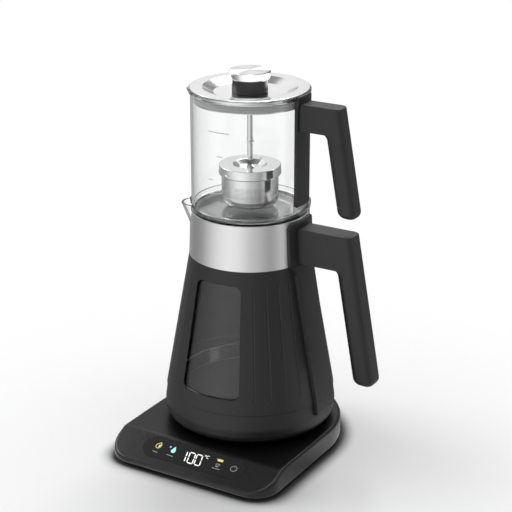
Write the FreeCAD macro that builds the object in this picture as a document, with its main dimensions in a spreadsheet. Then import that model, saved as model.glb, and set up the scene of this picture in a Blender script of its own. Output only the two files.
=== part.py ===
import FreeCAD, Part
import math
import os
import Sketcher

# Automatic tea maker: glass kettle on a touch-control base, with a glass teapot,
# lid and hanging infuser on top.  Millimetres, +Z up, origin where the kettle's
# axis meets the table, +X towards the handles, -Y towards the control strip.

SIZES = {
    # base
    "base_bottom": 3.0,
    "base_top": 23.0,
    "base_half": 90.0,
    "front_reach": 124.0,
    "crease_reach": 91.0,
    "front_top": 8.0,
    "corner_round": 25.0,
    "base_wall": 2.5,
    "base_edge_round": 3.0,
    "base_foot_round": 1.5,
    "crease_round": 12.0,
    "cover_thick": 2.0,
    "cover_gap": 0.3,
    "foot_radius": 9.0,
    "foot_side": 58.0,
    "foot_front": 94.0,
    "foot_rear": 48.0,
    "boss_radius": 4.0,
    "boss_side": 70.0,
    "boss_front": 68.0,
    "boss_rear": 38.0,
    "screw_radius": 1.5,
    "seat_radius": 62.0,
    "seat_wide": 4.0,
    "seat_high": 1.0,
    "panel_long": 112.0,
    "panel_wide": 24.5,
    "panel_down": 14.7,
    "panel_thick": 1.2,
    "display_long": 34.0,
    "display_wide": 14.0,
    "display_thick": 2.0,
    "gland_radius": 6.0,
    "gland_bore": 3.2,
    "gland_height": 12.5,
    # power connector
    "post_radius": 10.5,
    "post_high": 15.0,
    "post_flange": 24.0,
    "post_neck": 19.5,
    "post_rise": 1.5,
    "coupler_radius": 22.0,
    "coupler_gap": 0.5,
    "coupler_roof": 1.5,
    "turn_fit": 0.08,
    # kettle
    "cup_rise": 3.0,
    "cup_foot_radius": 82.4,
    "cup_round": 9.0,
    "belly_radius": 83.7,
    "belly_high": 15.0,
    "belly_round": 14.0,
    "cup_wall": 2.5,
    "cup_high": 30.5,
    "seam_radius": 82.3,
    "seam_groove": 0.6,
    "lip_high": 3.5,
    "shelf_radius": 75.5,
    "shelf_high": 4.0,
    "shelf_thick": 2.0,
    "shelf_lean": 5.0,
    "shell_wall": 1.4,
    "shell_high": 136.1,
    "band_bottom_radius": 58.35,
    "band_high": 43.9,
    "band_top_radius": 56.75,
    "band_wall": 0.9,
    "window_half_top": 23.5,
    "window_half_low": 31.5,
    "window_from_band": 14.1,
    "window_from_seam": 14.0,
    "window_round": 7.0,
    "groove_radius": 1.5,
    "groove_sink": 0.5,
    "groove_from_seam": 12.5,
    "groove_from_band": 14.6,
    "groove_step": 11.25,
    "glass_gap": 0.3,
    "glass_wall": 2.2,
    "neck_radius": 55.0,
    "ledge_down": 19.5,
    "ledge_wide": 2.0,
    "rim_high": 7.0,
    "rim_radius": 58.0,
    "rim_wall": 1.8,
    "spout_angle": -145.0,
    "spout_reach": 65.0,
    "spout_mouth": 13.0,
    "spout_root": 5.0,
    "spout_deep": 24.5,
    "spout_wall": 2.2,
    "pan_radius": 70.0,
    "pan_depth": 4.5,
    "pan_lip": 4.0,
    "sheet_thick": 1.0,
    "pan_seal_thick": 2.0,
    "element_radius": 45.0,
    "element_tube": 4.0,
    # kettle strap and handle
    "strap_half": 16.5,
    "strap_wide_half": 22.0,
    "strap_proud": 3.6,
    "strap_head_proud": 2.4,
    "strap_head_round": 1.5,
    "strap_round": 2.5,
    "strap_corner": 7.0,
    "strap_from_seam": 12.0,
    "strap_down": 1.5,
    "skin_gap": 0.1,
    "arm_down": 8.1,
    "arm_high": 33.9,
    "handle_wide": 22.6,
    "handle_top_reach": 113.4,
    "handle_thick": 17.8,
    "handle_slope": 0.18,
    "handle_start": 30.0,
    "grip_long": 145.9,
    "handle_edge": 1.2,
    "grip_round": 7.5,
    "grip_end_round": 6.5,
    # steam plate between kettle and teapot
    "plate_radius": 52.1,
    "plate_ring": 3.9,
    "plate_sink": 5.2,
    "plate_seal_high": 5.0,
    "steam_hole": 2.2,
    "steam_circle": 22.0,
    "pot_gap": 0.3,
    # teapot
    "pot_radius": 55.5,
    "pot_wall": 2.2,
    "pot_rise": 12.2,
    "pot_high": 117.7,
    "pot_floor": 3.0,
    "pot_round": 6.2,
    "pot_rim_radius": 57.0,
    "lip_reach": 58.8,
    "lip_mouth": 8.0,
    "lip_deep": 8.9,
    "pot_strap_half": 12.0,
    "pot_strap_proud": 3.2,
    "pot_strap_rise": 12.4,
    "pot_clip_proud": 2.6,
    "pot_arm_down": 6.6,
    "pot_arm_high": 25.3,
    "pot_handle_wide": 19.0,
    "pot_handle_top_reach": 98.6,
    "pot_handle_thick": 16.6,
    "pot_grip_long": 102.8,
    # lid
    "lid_radius": 56.0,
    "lid_sheet": 0.9,
    "dish_radius": 44.5,
    "dish_floor_radius": 33.6,
    "dish_depth": 5.0,
    "plug_radius": 50.0,
    "plug_wall": 1.2,
    "plug_deep": 12.6,
    "seal_gap": 0.35,
    "seal_high": 6.8,
    "knob_neck_radius": 16.8,
    "knob_neck_high": 12.2,
    "knob_radius": 19.5,
    "knob_high": 8.3,
    "rod_radius": 2.5,
    "joint_down": 53.8,
    "joint_high": 5.2,
    "joint_radius": 3.5,
    # infuser
    "cap_radius": 29.2,
    "cap_down": 74.5,
    "cap_sheet": 0.8,
    "cap_dish_radius": 16.2,
    "cap_floor_radius": 10.5,
    "cap_dish_depth": 3.8,
    "cap_high": 9.1,
    "basket_radius": 26.9,
    "basket_deep": 29.2,
    "basket_round": 6.0,
    "basket_sheet": 0.7,
    "basket_gap": 0.3,
    "hole_radius": 1.0,
    "hole_step": 5.0,
    "hole_rise": 9.0,
}

doc = FreeCAD.newDocument("TeaMaker")
sheet = doc.addObject("Spreadsheet::Sheet", "Dims")
for row, (alias, value) in enumerate(SIZES.items(), start=1):
    sheet.set("A%d" % row, alias)
    sheet.set("B%d" % row, str(value))
    sheet.setAlias("B%d" % row, alias)
doc.recompute()

UP = FreeCAD.Vector(0, 0, 1)


class Size:
    """A number that also keeps the spreadsheet expression it came from."""

    def __init__(self, number, text):
        self.number = number
        self.text = text

    def _join(self, other, sign, number):
        return Size(number, "(%s %s %s)" % (self.text, sign, size(other).text))

    def __add__(self, other):
        return self._join(other, "+", self.number + size(other).number)

    def __sub__(self, other):
        return self._join(other, "-", self.number - size(other).number)

    def __mul__(self, other):
        return self._join(other, "*", self.number * size(other).number)

    def __truediv__(self, other):
        return self._join(other, "/", self.number / size(other).number)

    def __neg__(self):
        return Size(-self.number, "(0 - %s)" % self.text)


def size(value):
    """Wrap a plain number as a Size."""
    return value if isinstance(value, Size) else Size(float(value), repr(float(value)))


class Table:
    """Gives each driving dimension as a Size, by its name."""

    def __getattr__(self, name):
        return Size(SIZES[name], "Dims." + name)


D = Table()

# heights, each measured from the piece that carries it
cup_bottom = D.base_top + D.cup_rise
seam_height = cup_bottom + D.cup_high
band_bottom = seam_height + D.shell_high
band_top = band_bottom + D.band_high
rim_height = band_top + D.rim_high
ledge_height = rim_height - D.ledge_down
pot_bottom = ledge_height + D.pot_rise
pot_top = pot_bottom + D.pot_high
lid_top = pot_top + D.lid_sheet
cap_top = lid_top - D.cap_down
cap_low = cap_top - D.cap_high
basket_bottom = cap_low - D.basket_deep


def bind(item, path, value):
    """Drive one property of an object by an expression."""
    item.setExpression(path, size(value).text)


def new_body(name):
    return doc.addObject("PartDesign::Body", name)


def origin_plane(body, role):
    return [feature for feature in body.Origin.OriginFeatures if feature.Role == role][0]


def new_sketch(body, name, role, lift=None):
    """An empty sketch on an origin plane, moved along the plane's normal by lift."""
    sketch = body.newObject("Sketcher::SketchObject", name)
    sketch.AttachmentSupport = [(origin_plane(body, role), "")]
    sketch.MapMode = "FlatFace"
    if lift is not None:
        sketch.AttachmentOffset = FreeCAD.Placement(UP * lift.number, FreeCAD.Rotation())
        bind(sketch, "AttachmentOffset.Base.z", lift)
    return sketch


def constrain(sketch, kind, geometry, vertex, value):
    value = size(value)
    if kind == "Radius":
        rule = Sketcher.Constraint(kind, geometry, value.number)
    else:
        rule = Sketcher.Constraint(kind, -1, 1, geometry, vertex, value.number)
    index = sketch.addConstraint(rule)
    bind(sketch, "Constraints[%d]" % index, value)


def round_corner(sketch, line, radius):
    """Round the corner at the end of a line, keeping the corner's own position."""
    radius = size(radius)
    sketch.fillet(line, 2, radius.number, True, True)
    constrain(sketch, "Radius", sketch.GeometryCount - 2, None, radius)


def outline(sketch, points, rounds=None):
    """A closed outline of straight lines through points, with rounded corners."""
    corners = [(size(across), size(along)) for across, along in points]
    count = len(corners)
    places = [FreeCAD.Vector(across.number, along.number, 0) for across, along in corners]
    for index in range(count):
        sketch.addGeometry(Part.LineSegment(places[index], places[(index + 1) % count]), False)
    for index in range(count):
        sketch.addConstraint(Sketcher.Constraint("Coincident", index, 2, (index + 1) % count, 1))
    for index, (across, along) in enumerate(corners):
        constrain(sketch, "DistanceX", index, 1, across)
        constrain(sketch, "DistanceY", index, 1, along)
    for corner, radius in (rounds or {}).items():
        round_corner(sketch, (corner - 1) % count, radius)


def circle(sketch, across, along, radius):
    across, along, radius = size(across), size(along), size(radius)
    centre = FreeCAD.Vector(across.number, along.number, 0)
    index = sketch.addGeometry(Part.Circle(centre, UP, radius.number), False)
    constrain(sketch, "DistanceX", index, 3, across)
    constrain(sketch, "DistanceY", index, 3, along)
    constrain(sketch, "Radius", index, None, radius)


def revolved(name, points, rounds=None):
    """A body turned about Z from an outline of (radius, height) points."""
    body = new_body(name)
    sketch = new_sketch(body, name + "_section", "XZ_Plane")
    outline(sketch, points, rounds)
    turn = body.newObject("PartDesign::Revolution", name + "_turn")
    turn.Profile = sketch
    turn.ReferenceAxis = (sketch, ["V_Axis"])
    turn.Angle = 360
    doc.recompute()
    return body


def padded(body, sketch, length, middle=False, back=False):
    pad = body.newObject("PartDesign::Pad", sketch.Name + "_pad")
    pad.Profile = sketch
    pad.Length = size(length).number
    bind(pad, "Length", length)
    pad.Midplane = middle
    pad.Reversed = back
    doc.recompute()
    return pad


def extruded(name, role, points, length, rounds=None, lift=None, middle=False, back=False):
    """A body pushed out from an outline on an origin plane."""
    body = new_body(name)
    sketch = new_sketch(body, name + "_section", role, lift)
    outline(sketch, points, rounds)
    padded(body, sketch, length, middle, back)
    return body


def turned(body, angle):
    """Turn a body about Z by an angle in degrees."""
    body.Placement = FreeCAD.Placement(FreeCAD.Vector(), FreeCAD.Rotation(UP, angle.number))
    body.setExpression("Placement.Rotation.Angle", "(%s) * 1 deg" % angle.text)
    doc.recompute()


def lofted_funnel(name, low, top, low_centre, top_centre, low_radius, top_radius, angle):
    """A leaning cone between two level circles, turned about Z by an angle."""
    body = new_body(name)
    low_sketch = new_sketch(body, name + "_root", "XY_Plane", low)
    circle(low_sketch, low_centre, 0, low_radius)
    top_sketch = new_sketch(body, name + "_mouth", "XY_Plane", top)
    circle(top_sketch, top_centre, 0, top_radius)
    loft = body.newObject("PartDesign::AdditiveLoft", name + "_loft")
    loft.Profile = low_sketch
    loft.Sections = [top_sketch]
    loft.Ruled = True
    turned(body, angle)
    return body


def cylinder(name, radius, low, high, across=0, along=0):
    """An upright cylinder between two heights."""
    item = doc.addObject("Part::Cylinder", name)
    bind(item, "Radius", radius)
    bind(item, "Height", size(high) - low)
    bind(item, "Placement.Base.x", across)
    bind(item, "Placement.Base.y", along)
    bind(item, "Placement.Base.z", low)
    return item


def joined(name, *items):
    result = doc.addObject("Part::MultiFuse", name)
    result.Shapes = list(items)
    return result


def cut(name, base, tool):
    result = doc.addObject("Part::Cut", name)
    result.Base = base
    result.Tool = tool
    return result


def shared(name, *items):
    result = doc.addObject("Part::MultiCommon", name)
    result.Shapes = list(items)
    return result


NODES = []


def node(item, label):
    """Name a finished piece; the label is also its file's name."""
    item.Label = label
    NODES.append(item)
    return item


# ---------------------------------------------------------------- base housing

def base_plan(sketch, inset):
    """Straight sides and front, rounded front corners and a half-circle back."""
    half = D.base_half - inset
    front = -(D.front_reach - inset)
    places = [(-half, size(0)), (-half, front), (half, front), (half, size(0))]
    dots = [FreeCAD.Vector(across.number, along.number, 0) for across, along in places]
    for index in range(3):
        sketch.addGeometry(Part.LineSegment(dots[index], dots[index + 1]), False)
    round_back = Part.ArcOfCircle(Part.Circle(FreeCAD.Vector(), UP, half.number), 0, math.pi)
    sketch.addGeometry(round_back, False)
    for first, second in ((0, 1), (1, 2)):
        sketch.addConstraint(Sketcher.Constraint("Coincident", first, 2, second, 1))
    sketch.addConstraint(Sketcher.Constraint("Coincident", 2, 2, 3, 1))
    sketch.addConstraint(Sketcher.Constraint("Coincident", 3, 2, 0, 1))
    sketch.addConstraint(Sketcher.Constraint("Coincident", 3, 3, -1, 1))
    for index in range(3):
        constrain(sketch, "DistanceX", index, 1, places[index][0])
        constrain(sketch, "DistanceY", index, 1, places[index][1])
    constrain(sketch, "DistanceY", 2, 2, size(0))
    round_corner(sketch, 0, D.corner_round - inset)
    round_corner(sketch, 1, D.corner_round - inset)


def slope_drop():
    return (D.base_top - D.front_top) / (D.front_reach - D.crease_reach)


def base_block(name, inset, low, high):
    """The base's outer form, or its hollow, with the front sloping down."""
    body = new_body(name)
    plan = new_sketch(body, name + "_plan", "XY_Plane", low)
    base_plan(plan, inset)
    padded(body, plan, high - low)
    past = D.front_reach + 10
    slope = new_sketch(body, name + "_slope", "YZ_Plane")
    sunk = D.base_top - high
    outline(slope, [
        (-D.crease_reach, high),
        (-past, D.base_top - slope_drop() * (past - D.crease_reach) - sunk),
        (-past, high + 5),
        (-D.crease_reach, high + 5),
    ])
    pocket = body.newObject("PartDesign::Pocket", name + "_slope_cut")
    pocket.Profile = slope
    pocket.Type = 1
    pocket.Midplane = True
    doc.recompute()
    return body


def slope_placement(item, across, down, sink):
    """Lay an item on the sloping strip: down from its crease, sunk below its face."""
    angle = "atan(%s)" % slope_drop().text
    item.setExpression("Placement.Rotation.Angle", angle)
    item.Placement = FreeCAD.Placement(
        FreeCAD.Vector(), FreeCAD.Rotation(FreeCAD.Vector(1, 0, 0), 20))
    bind(item, "Placement.Base.x", across)
    item.setExpression("Placement.Base.y", "-%s - cos(%s) * %s + sin(%s) * %s" % (
        D.crease_reach.text, angle, down.text, angle, sink.text))
    item.setExpression("Placement.Base.z", "%s - sin(%s) * %s - cos(%s) * %s" % (
        D.base_top.text, angle, down.text, angle, sink.text))


def pill(name, length, width, thick):
    """A flat plate with round ends, lying on Z = 0 and centred on the origin."""
    half = length / 2
    side = width / 2
    corners = [(-half, -side), (half, -side), (half, side), (-half, side)]
    turn = side - 0.01
    return extruded(name, "XY_Plane", corners, thick, {0: turn, 1: turn, 2: turn, 3: turn})


def base_posts(name, radius, low, high):
    """Four upright cylinders where the cover is screwed on."""
    places = [(side, along) for side in (-D.boss_side, D.boss_side)
              for along in (-D.boss_front, D.boss_rear)]
    return [cylinder("%s_%d" % (name, index), radius, low, high, across, along)
            for index, (across, along) in enumerate(places)]


cover_top = D.base_bottom + D.cover_thick
roof = D.base_top - D.base_wall

block = base_block("base_outer", size(0), D.base_bottom, D.base_top)


def rounded(body, name, edges, radius):
    """Round some edges of the body as it stands."""
    form = body.Tip
    soft = body.newObject("PartDesign::Fillet", name)
    soft.Base = (form, edges)
    soft.Radius = radius.number
    bind(soft, "Radius", radius)
    doc.recompute()


def crease_edges(shape):
    """The edge between the level top and the sloping strip."""
    return ["Edge%d" % index for index, edge in enumerate(shape.Edges, start=1)
            if crosses(edge.BoundBox) and edge.BoundBox.ZMin > SIZES["base_top"] - 0.01]


def crosses(box):
    """Whether an edge runs straight across the base behind its front rim."""
    return box.YLength < 0.01 and box.ZLength < 0.01 and box.YMin > 1 - SIZES["front_reach"]


def rim_edges(shape):
    """The upper rim of the base: every top edge but those of the crease."""
    names = []
    for index, edge in enumerate(shape.Edges, start=1):
        box = edge.BoundBox
        upright = box.XLength < 0.01 and box.YLength < 0.01
        under = box.ZMin < SIZES["base_bottom"] + 0.01
        if not (upright or under or crosses(box)):
            names.append("Edge%d" % index)
    return names


rounded(block, "base_crease_round", crease_edges(block.Shape), D.crease_round)
rounded(block, "base_outer_round", rim_edges(block.Shape), D.base_edge_round)
rounded(block, "base_foot_round", [
    "Edge%d" % index for index, edge in enumerate(block.Shape.Edges, start=1)
    if edge.BoundBox.ZMax < SIZES["base_bottom"] + 0.01], D.base_foot_round)

hollow = base_block("base_hollow", D.base_wall, D.base_bottom - 1, roof)
hull = cut("base_hull", block, hollow)
posts = base_posts("base_post", D.boss_radius, cover_top, roof)
seat = revolved("seat_ring", [
    (D.seat_radius - D.seat_wide / 2, D.base_top - 0.5),
    (D.seat_radius + D.seat_wide / 2, D.base_top - 0.5),
    (D.seat_radius + D.seat_wide / 2 - 0.4, D.base_top + D.seat_high),
    (D.seat_radius - D.seat_wide / 2 + 0.4, D.base_top + D.seat_high),
])
solid_base = joined("base_solid", hull, seat, *posts)
post_hole = cylinder("post_hole", D.post_neck + 0.1, roof - 1, D.base_top + 1)
screw_holes = base_posts("screw_hole", D.screw_radius, cover_top - 1, roof - 3)
panel_pocket = pill("panel_pocket", D.panel_long + 0.4, D.panel_wide + 0.4, D.panel_thick + 2)
slope_placement(panel_pocket, size(0), D.panel_down, D.panel_thick)
display_hole = extruded("display_hole", "XY_Plane", [
    (-D.display_long / 2 - 0.2, -D.display_wide / 2 - 0.2),
    (D.display_long / 2 + 0.2, -D.display_wide / 2 - 0.2),
    (D.display_long / 2 + 0.2, D.display_wide / 2 + 0.2),
    (-D.display_long / 2 - 0.2, D.display_wide / 2 + 0.2),
], D.base_wall + 2)
slope_placement(display_hole, size(0), D.panel_down, D.base_wall + 1)


def rear_cylinder(name, radius, start, length):
    """A level cylinder running out through the back of the base."""
    item = doc.addObject("Part::Cylinder", name)
    item.Placement = FreeCAD.Placement(
        FreeCAD.Vector(), FreeCAD.Rotation(FreeCAD.Vector(1, 0, 0), -90))
    bind(item, "Radius", radius)
    bind(item, "Height", length)
    bind(item, "Placement.Base.y", start)
    bind(item, "Placement.Base.z", D.gland_height)
    return item


gland_hole = rear_cylinder("gland_hole", D.gland_radius + 0.1, D.base_half - 8, size(16))
base_openings = joined("base_openings", post_hole, panel_pocket, display_hole, gland_hole,
                       *screw_holes)
base_housing = node(cut("base_housing", solid_base, base_openings), "base_housing")

# bottom cover with its four feet and screws
plate = new_body("cover_plate")
plan = new_sketch(plate, "cover_plan", "XY_Plane", D.base_bottom)
base_plan(plan, D.base_wall + D.cover_gap)
padded(plate, plan, D.cover_thick)
cover_holes = joined("cover_holes", *base_posts(
    "cover_hole", D.screw_radius + 0.1, D.base_bottom - 1, cover_top + 1))
base_cover = node(cut("base_cover", plate, cover_holes), "base_cover")

feet = []
for across in (-D.foot_side, D.foot_side):
    for along in (-D.foot_front, D.foot_rear):
        feet.append(cylinder("foot_%d" % len(feet), D.foot_radius, size(0), D.base_bottom,
                             across, along))
node(joined("rubber_feet", *feet), "rubber_feet")

shanks = base_posts("screw_shank", D.screw_radius, D.base_bottom + 0.2, roof - 4)
node(joined("base_screws", *shanks), "base_screws")

# touch panel and display
control_lens = pill("control_lens", D.panel_long, D.panel_wide, D.panel_thick)
slope_placement(control_lens, size(0), D.panel_down, D.panel_thick)
node(control_lens, "control_lens")
display = extruded("display_module", "XY_Plane", [
    (-D.display_long / 2, -D.display_wide / 2),
    (D.display_long / 2, -D.display_wide / 2),
    (D.display_long / 2, D.display_wide / 2),
    (-D.display_long / 2, D.display_wide / 2),
], D.display_thick)
slope_placement(display, size(0), D.panel_down, D.panel_thick + D.display_thick)
node(display, "display_module")

# cord gland in the back wall
gland_body = joined("gland_solid",
                    rear_cylinder("gland_tube", D.gland_radius, D.base_half - 7, size(8.5)),
                    rear_cylinder("gland_inner", D.gland_radius + 1,
                                  D.base_half - 7, size(2)))
gland_bore = rear_cylinder("gland_bore", D.gland_bore, D.base_half - 9, size(14))
node(cut("cord_gland", gland_body, gland_bore), "cord_gland")

# ------------------------------------------------------------- power connector
post_face = D.base_top + D.post_rise
post_tip = D.base_top + D.post_high
connector = revolved("power_connector", [
    (0, roof - 3),
    (D.post_flange, roof - 3),
    (D.post_flange, roof),
    (D.post_neck, roof),
    (D.post_neck, post_face),
    (D.post_radius, post_face),
    (D.post_radius, post_tip - 1),
    (D.post_radius - 1, post_tip),
    (D.post_radius - 3, post_tip),
    (D.post_radius - 3, post_face + 2),
    (D.post_radius - 5, post_face + 2),
    (D.post_radius - 5, post_tip - 1),
    (0, post_tip - 1),
])
node(connector, "power_connector")

coupler_top = post_tip + 1 + D.coupler_roof
coupler = revolved("kettle_coupler", [
    (D.post_radius + D.coupler_gap, post_face),
    (D.coupler_radius, post_face),
    (D.coupler_radius, coupler_top),
    (0, coupler_top),
    (0, coupler_top - D.coupler_roof),
    (D.post_radius + D.coupler_gap, coupler_top - D.coupler_roof),
])
node(coupler, "kettle_coupler")

# ----------------------------------------------------------------- kettle cup
lean = (D.seam_radius - D.band_bottom_radius) / (band_bottom - seam_height)


def shell_radius(height):
    """Outer radius of the conical shell at a height."""
    return D.seam_radius - lean * (height - seam_height)


dock_top = coupler_top + D.cup_wall
floor_top = cup_bottom + D.cup_wall
shelf_top = seam_height + D.shelf_high
belly_height = cup_bottom + D.belly_high
lip_top = seam_height + D.lip_high - 1
lip_radius = shell_radius(lip_top) - D.shell_wall - D.skin_gap
cup = revolved("kettle_cup", [
    (0, coupler_top),
    (D.coupler_radius + D.turn_fit, coupler_top),
    (D.coupler_radius + D.turn_fit, cup_bottom),
    (D.cup_foot_radius, cup_bottom),
    (D.belly_radius, belly_height),
    (D.seam_radius - D.seam_groove, seam_height - D.seam_groove),
    (D.seam_radius - D.seam_groove * 2, seam_height),
    (lip_radius, seam_height),
    (lip_radius, lip_top),
    (lip_radius - 1.2, lip_top),
    (lip_radius - 1.2, seam_height - 3),
    (D.belly_radius - D.cup_wall, belly_height),
    (D.cup_foot_radius - D.cup_wall, floor_top),
    (D.shelf_radius - 1 - D.shelf_lean, floor_top),
    (D.shelf_radius - 1, shelf_top),
    (D.shelf_radius - 1 - D.shelf_thick, shelf_top),
    (D.shelf_radius - 1 - D.shelf_thick - D.shelf_lean, floor_top),
    (D.coupler_radius + D.cup_wall, floor_top),
    (D.coupler_radius + D.cup_wall, dock_top),
    (0, dock_top),
], {3: D.cup_round, 4: D.belly_round, 12: D.cup_round - D.cup_wall})
node(cup, "kettle_cup")

# ------------------------------------------------- heating pan, seal, element
pan_flange = shelf_top
pan = revolved("heating_plate", [
    (0, pan_flange - D.pan_depth),
    (D.pan_radius, pan_flange - D.pan_depth),
    (D.pan_radius, pan_flange),
    (D.shelf_radius, pan_flange),
    (D.shelf_radius, pan_flange + D.sheet_thick),
    (D.pan_radius + 0.4, pan_flange + D.sheet_thick),
    (D.pan_radius + 0.4, pan_flange + D.pan_lip),
    (D.pan_radius - D.sheet_thick, pan_flange + D.pan_lip),
    (D.pan_radius - D.sheet_thick, pan_flange - D.pan_depth + D.sheet_thick),
    (0, pan_flange - D.pan_depth + D.sheet_thick),
])
node(pan, "heating_plate")

glass_low = pan_flange + D.sheet_thick + D.pan_seal_thick
glass_foot = shell_radius(glass_low) - D.shell_wall - D.glass_gap
node(revolved("pan_seal", [
    (D.pan_radius + 0.8, pan_flange + D.sheet_thick),
    (glass_foot - 0.6, pan_flange + D.sheet_thick),
    (glass_foot - 0.6, glass_low),
    (D.pan_radius + 0.8, glass_low),
]), "pan_seal")

element = doc.addObject("Part::Torus", "heating_element")
bind(element, "Radius1", D.element_radius)
bind(element, "Radius2", D.element_tube)
bind(element, "Placement.Base.z", pan_flange - D.pan_depth - D.element_tube)
node(element, "heating_element")

# ---------------------------------------------------------------- kettle shell
def grooved_shell():
    """The conical shell with its upright grooves, before the window is cut."""
    body = new_body("shell_grooved")
    section = new_sketch(body, "shell_section", "XZ_Plane")
    outline(section, [
        (D.seam_radius - D.shell_wall, seam_height),
        (D.seam_radius, seam_height),
        (D.band_bottom_radius, band_bottom),
        (D.band_bottom_radius - D.shell_wall, band_bottom),
    ])
    turn = body.newObject("PartDesign::Revolution", "shell_turn")
    turn.Profile = section
    turn.ReferenceAxis = (section, ["V_Axis"])
    turn.Angle = 360
    doc.recompute()
    return body


shell = grooved_shell()
window_low = seam_height + D.window_from_seam
window_top = band_bottom - D.window_from_band
window = extruded("window_cut", "XZ_Plane", [
    (-D.window_half_low, window_low),
    (D.window_half_low, window_low),
    (D.window_half_top, window_top),
    (-D.window_half_top, window_top),
], D.seam_radius + 10, {corner: D.window_round for corner in range(4)})


# places round the axis that carry a groove: all but the strap, and the window at -8
GROOVE_STEPS = [step for step in range(-14, 15) if abs(step) > 1 and abs(step + 8) > 2]


groove_low = seam_height + D.groove_from_seam
groove_top = band_bottom - D.groove_from_band


def groove_tool(name, angle):
    """A thin rod laid along the cone, sunk a little into its face."""
    low_radius = shell_radius(groove_low) + D.groove_radius - D.groove_sink
    top_radius = shell_radius(groove_top) + D.groove_radius - D.groove_sink
    return lofted_funnel(name, groove_low, groove_top, low_radius, top_radius,
                         D.groove_radius, D.groove_radius, size(angle))


groove_tools = []
for step in GROOVE_STEPS:
    groove_tools.append(groove_tool("groove_%d" % len(groove_tools), D.groove_step * step))
node(cut("kettle_shell", shell, joined("shell_cuts", window, *groove_tools)), "kettle_shell")

# ---------------------------------------------------------------- kettle glass
rim_foot = band_top + 0.3
spout_low = rim_height - D.spout_deep
shoulder = band_bottom - 4
shoulder_radius = shell_radius(shoulder) - D.shell_wall - D.glass_gap
neck_low = band_bottom + 1


def spout_funnel(name, skin, low):
    """The flared pouring lip of the kettle, thinner or thicker by skin."""
    mouth_centre = D.spout_reach - D.spout_mouth
    root_centre = D.neck_radius + 0.5 - D.spout_root
    return lofted_funnel(name, low, rim_height, root_centre, mouth_centre,
                         D.spout_root + skin, D.spout_mouth + skin, D.spout_angle)


glass_outer = revolved("glass_outer", [
    (0, glass_low),
    (glass_foot, glass_low),
    (shoulder_radius, shoulder),
    (D.neck_radius, neck_low),
    (D.neck_radius, rim_foot),
    (D.rim_radius - 0.7, rim_foot + 1.6),
    (D.rim_radius, rim_height),
    (0, rim_height),
])
glass_inner = revolved("glass_inner", [
    (0, glass_low - 1),
    (glass_foot - D.glass_wall, glass_low - 1),
    (shoulder_radius - D.glass_wall, shoulder),
    (D.neck_radius - D.glass_wall - D.ledge_wide, neck_low + 1),
    (D.neck_radius - D.glass_wall - D.ledge_wide, ledge_height),
    (D.neck_radius - D.glass_wall, ledge_height),
    (D.neck_radius - D.glass_wall, rim_foot),
    (D.rim_radius - 0.7 - D.rim_wall, rim_foot + 2.2),
    (D.rim_radius - D.rim_wall, rim_height + 1),
    (0, rim_height + 1),
])
glass_full = joined("glass_full", glass_outer, spout_funnel("spout_outer", size(0), spout_low))
glass_hollow = joined("glass_hollow", glass_inner,
                      spout_funnel("spout_inner", -D.spout_wall, spout_low + D.spout_wall))
node(cut("kettle_glass", glass_full, glass_hollow), "kettle_glass")

# ----------------------------------------------------------------- steel band
band_ring = revolved("band_ring", [
    (D.band_bottom_radius - D.band_wall, band_bottom),
    (D.band_bottom_radius, band_bottom),
    (D.band_top_radius, band_top),
    (D.band_top_radius - D.band_wall, band_top),
])
node(cut("steel_band", band_ring, spout_funnel("band_notch", size(0.4), spout_low)),
     "steel_band")

# ------------------------------------------------------------- kettle handle
strap_low = seam_height - D.strap_from_seam
strap_top = band_top - D.strap_down
belly_lean = (D.belly_radius - D.seam_radius) / (seam_height - belly_height)
strap_foot = D.seam_radius + belly_lean * D.strap_from_seam + D.skin_gap
strap_seam = D.seam_radius + D.skin_gap
strap_waist = D.band_bottom_radius + D.skin_gap
strap_head = D.band_top_radius + D.skin_gap
strap_face = [
    (strap_foot + D.strap_proud, strap_low),
    (strap_seam + D.strap_proud, seam_height),
    (strap_waist + D.strap_proud, band_bottom),
    (strap_waist + D.strap_head_proud, band_bottom + 3),
    (strap_head + D.strap_head_proud, strap_top),
]
strap_ring = revolved("strap_ring", [
    (strap_foot, strap_low),
    (strap_seam, seam_height),
    (strap_waist, band_bottom),
    (strap_head, strap_top),
] + strap_face[::-1], {4: D.strap_head_round, 8: D.strap_round})
strap_width = extruded("strap_width", "YZ_Plane", [
    (-D.strap_half, strap_low - 5),
    (D.strap_half, strap_low - 5),
    (D.strap_half, band_bottom - 8),
    (D.strap_wide_half, band_bottom + 1),
    (D.strap_wide_half, strap_top),
    (-D.strap_wide_half, strap_top),
    (-D.strap_wide_half, band_bottom + 1),
    (-D.strap_half, band_bottom - 8),
], D.seam_radius + 20, {corner: D.strap_corner for corner in range(2, 8)})
node(shared("kettle_strap", strap_ring, strap_width), "kettle_strap")

strap_envelope = revolved("strap_envelope", [(0, strap_low)] + strap_face + [(0, strap_top)])


def grip_section(sketch, middle, thick, wide):
    """A level cut through a grip: a rectangle with large round corners."""
    near = middle - thick / 2
    far = middle + thick / 2
    side = wide / 2
    outline(sketch, [(near, -side), (far, -side), (far, side), (near, side)],
            {corner: D.grip_round for corner in range(4)})


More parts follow.
